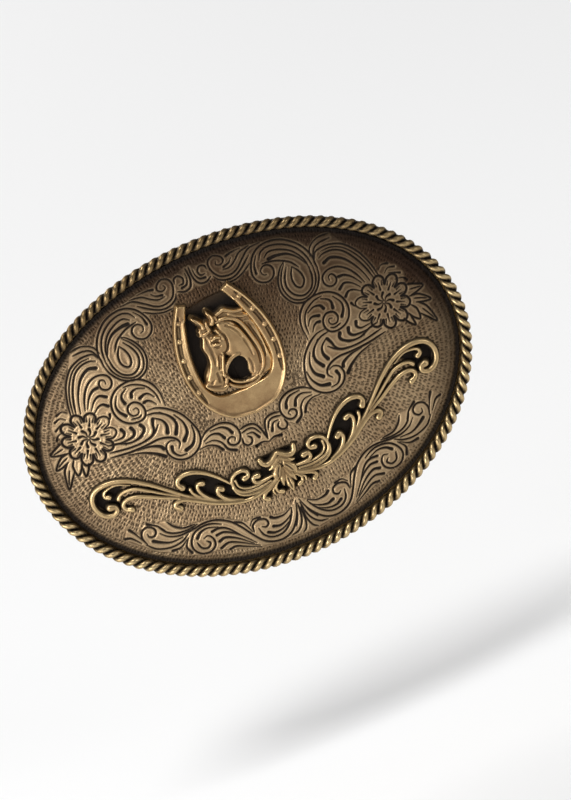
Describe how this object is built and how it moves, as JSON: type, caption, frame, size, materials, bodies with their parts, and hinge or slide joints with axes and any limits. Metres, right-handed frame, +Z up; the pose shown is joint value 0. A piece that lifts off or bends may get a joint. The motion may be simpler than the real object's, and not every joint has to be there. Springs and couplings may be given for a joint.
{
  "type": "western oval belt buckle",
  "caption": "Oval bent brass belt buckle with twisted rope edge, engraved front, horse head in horseshoe and scroll overlays, hinged wire bail and hook post on the back.",
  "frame": {"origin": "centre of the plate's back face, where the belt lies", "axes": "upright as worn: +Z up, +X along the buckle's length to the viewer's right, decorated front towards -Y, wearer towards +Y"},
  "size_m": [0.104, 0.0167, 0.0774],
  "materials": {
    "engraved_brass": "antique: engraved, matted ground, dark in the cuts and rubbed bright on the high metal",
    "rope_brass": "antique, rubbed bright on each lay with black between the lays",
    "overlay_brass": "antique cast overlay, brushed bright on the high points",
    "patinated_back": "cast back, brown patina, lightly brushed",
    "hardware_brass": "antique, satin",
    "rivet_brass": "antique, peened",
    "bail_wire": "drawn wire, antique, rubbed along the bar",
    "hook_brass": "turned, antique, polished at the tip by the belt"
  },
  "bodies": {
    "buckle": {"back_plate": "patinated_back", "front_plate": "engraved_brass", "rope_edge": "rope_brass", "horseshoe": "overlay_brass", "horse_head": "overlay_brass", "scroll_left": "overlay_brass", "scroll_right": "overlay_brass", "scroll_lily": "overlay_brass", "hinge_pad": "hardware_brass", "hinge_tube": "hardware_brass", "hinge_rivets": "rivet_brass", "hook_pad": "hardware_brass", "hook_rivets": "rivet_brass", "hook_post": "hook_brass"},
    "bail": {"bail": "bail_wire"}
  },
  "joints": [
    {"name": "bail_hinge", "type": "hinge", "parent": "buckle", "child": "bail", "pos_m": [-0.02, 0.0058, 0], "axis": [0, 0, -1], "range_deg": [0, 170]}
  ]
}
